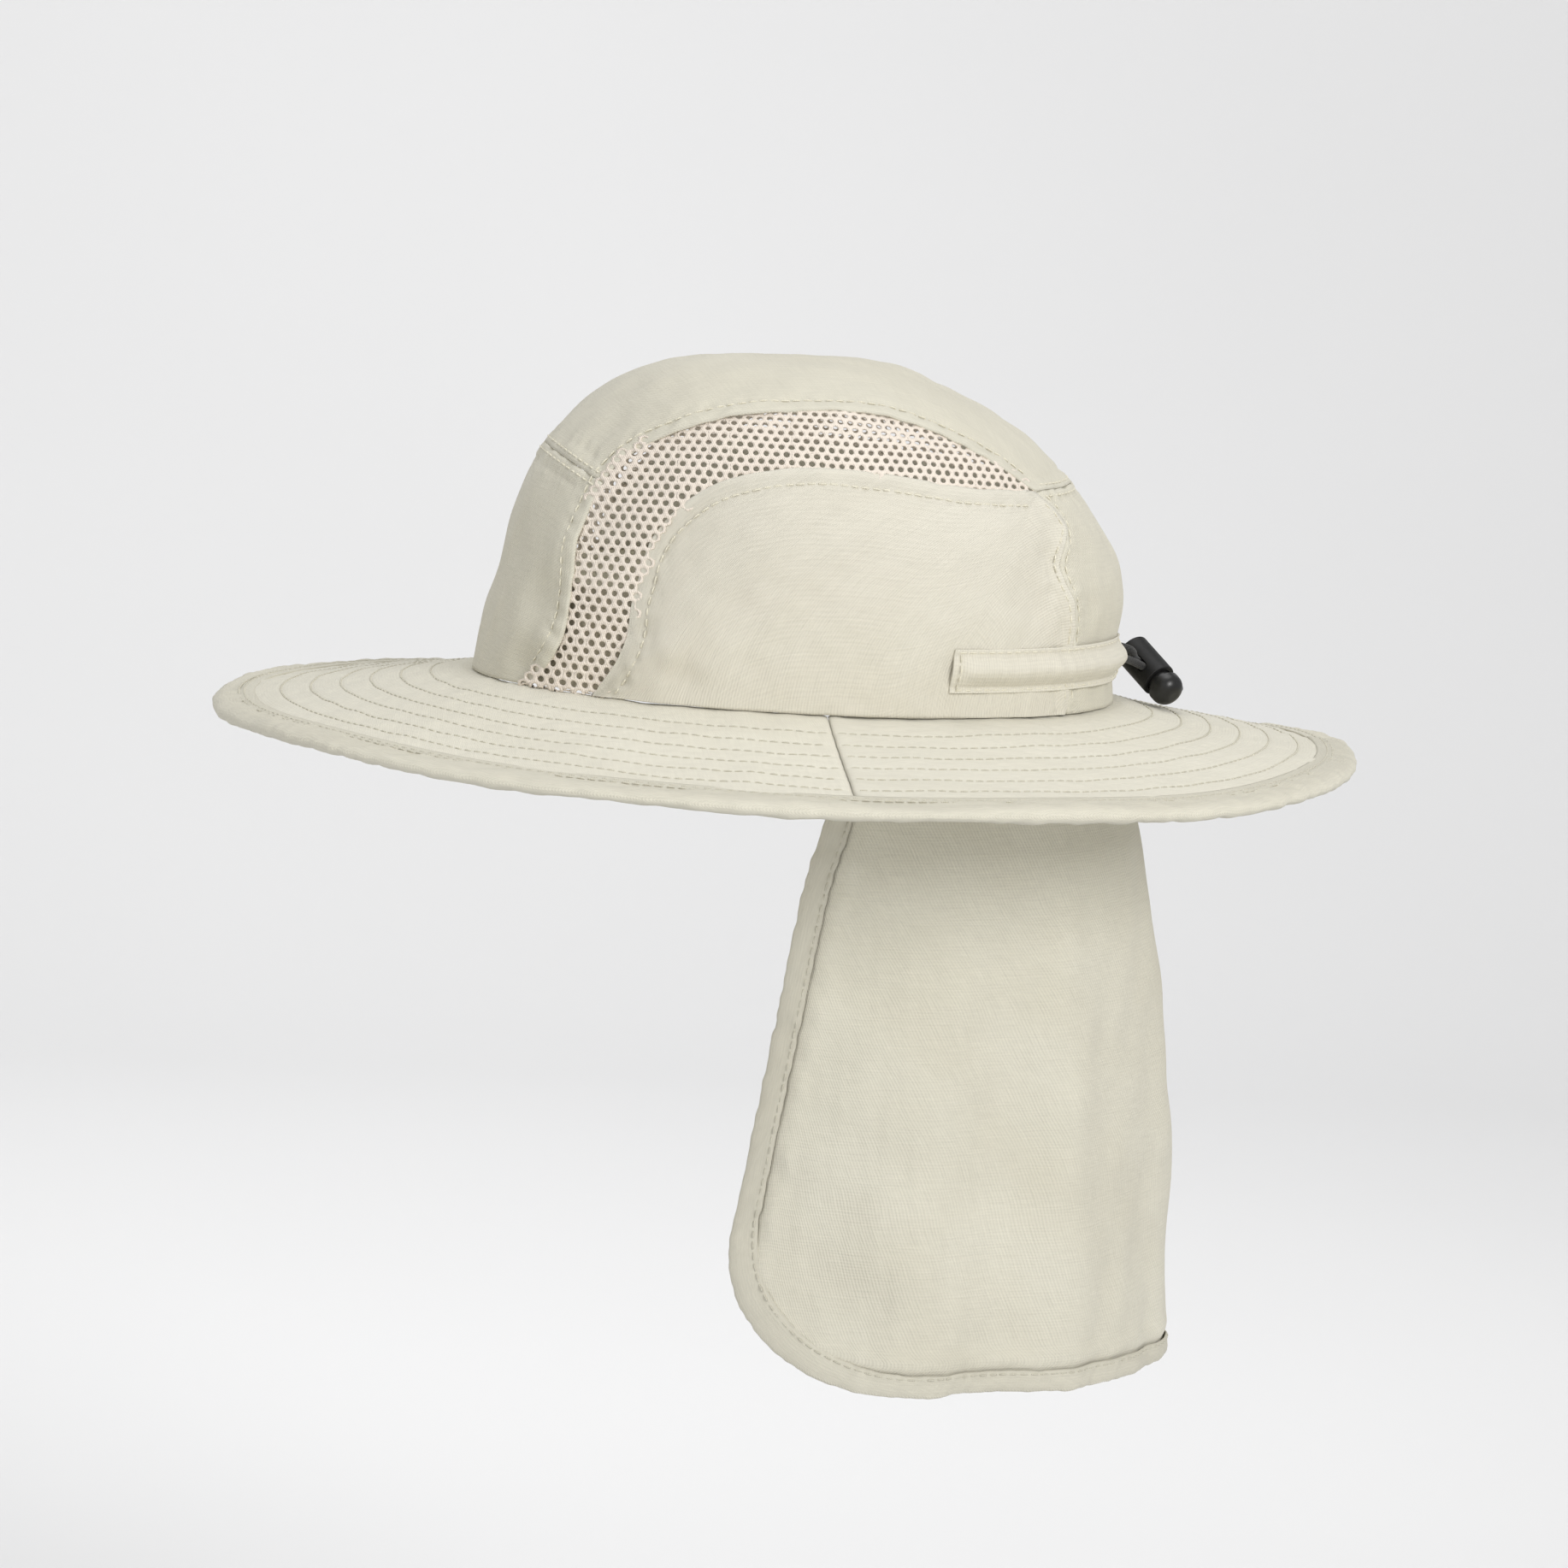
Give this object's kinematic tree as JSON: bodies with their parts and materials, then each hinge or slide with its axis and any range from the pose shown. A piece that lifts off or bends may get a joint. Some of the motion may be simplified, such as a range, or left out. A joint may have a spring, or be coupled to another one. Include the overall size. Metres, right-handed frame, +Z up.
{
  "type": "sun hat with neck flap",
  "caption": "Wide-brim cotton sun hat with mesh vents, a stitched brim with a rolled edge, a neck flap and a drawcord adjuster with a spring cord lock",
  "frame": {"origin": "centre of the head opening, on the plane of the sweatband's lower edge", "axes": "+Z up through the crown, -X is the front of the hat, -Y is the wearer's left side"},
  "size_m": [0.3572, 0.3122, 0.3031],
  "materials": {
    "twill": "fine diagonal twill cotton, matt",
    "ribbed_cotton": "fine ribbed cotton, matt",
    "mesh": "knitted mesh with round holes",
    "stiffener": "stiff needled interlining",
    "sweatband": "soft cotton twill tape",
    "elastic": "braided black elastic cord",
    "barrel_plastic": "moulded black, fine matt texture",
    "plunger_plastic": "moulded black, satin gloss",
    "spring_steel": "plain spring wire"
  },
  "bodies": {
    "hat": {"front_panel": "twill", "top_panel": "twill", "back_panel": "twill", "brim_edge_front": "twill", "brim_edge_rear": "twill", "flap_band": "twill", "casing_left": "twill", "casing_right": "twill", "side_panel_left": "ribbed_cotton", "side_panel_right": "ribbed_cotton", "brim_upper_front": "ribbed_cotton", "brim_upper_rear": "ribbed_cotton", "brim_under_front": "ribbed_cotton", "brim_under_rear": "ribbed_cotton", "mesh_vent_left": "mesh", "mesh_vent_right": "mesh", "brim_stiffener_front": "stiffener", "brim_stiffener_rear": "stiffener", "sweatband": "sweatband", "drawcord_held_left": "elastic", "drawcord_held_right": "elastic", "drawcord_loop": "elastic"},
    "flap": {"neck_flap": "ribbed_cotton", "flap_hem": "twill"},
    "lock": {"cord_lock_barrel": "barrel_plastic", "cord_lock_spring": "spring_steel"},
    "plunger": {"cord_lock_plunger": "plunger_plastic"}
  },
  "joints": [
    {"name": "flap_swing", "type": "hinge", "parent": "hat", "child": "flap", "pos_m": [0.1016, 0, -0.0122], "axis": [0, -1, 0], "range_deg": [0, 30], "stiffness_Nm_per_rad": 0.3},
    {"name": "lock_slide", "type": "slide", "parent": "hat", "child": "lock", "axis": [0.6604, 0.6716, -0.3358], "range_m": [-0.002, 0.003]},
    {"name": "plunger_press", "type": "slide", "parent": "lock", "child": "plunger", "axis": [-0.464, 0.7166, 0.5207], "range_m": [0, 0.0022], "stiffness_N_per_m": 600, "deforming": ["cord_lock_spring"]}
  ]
}
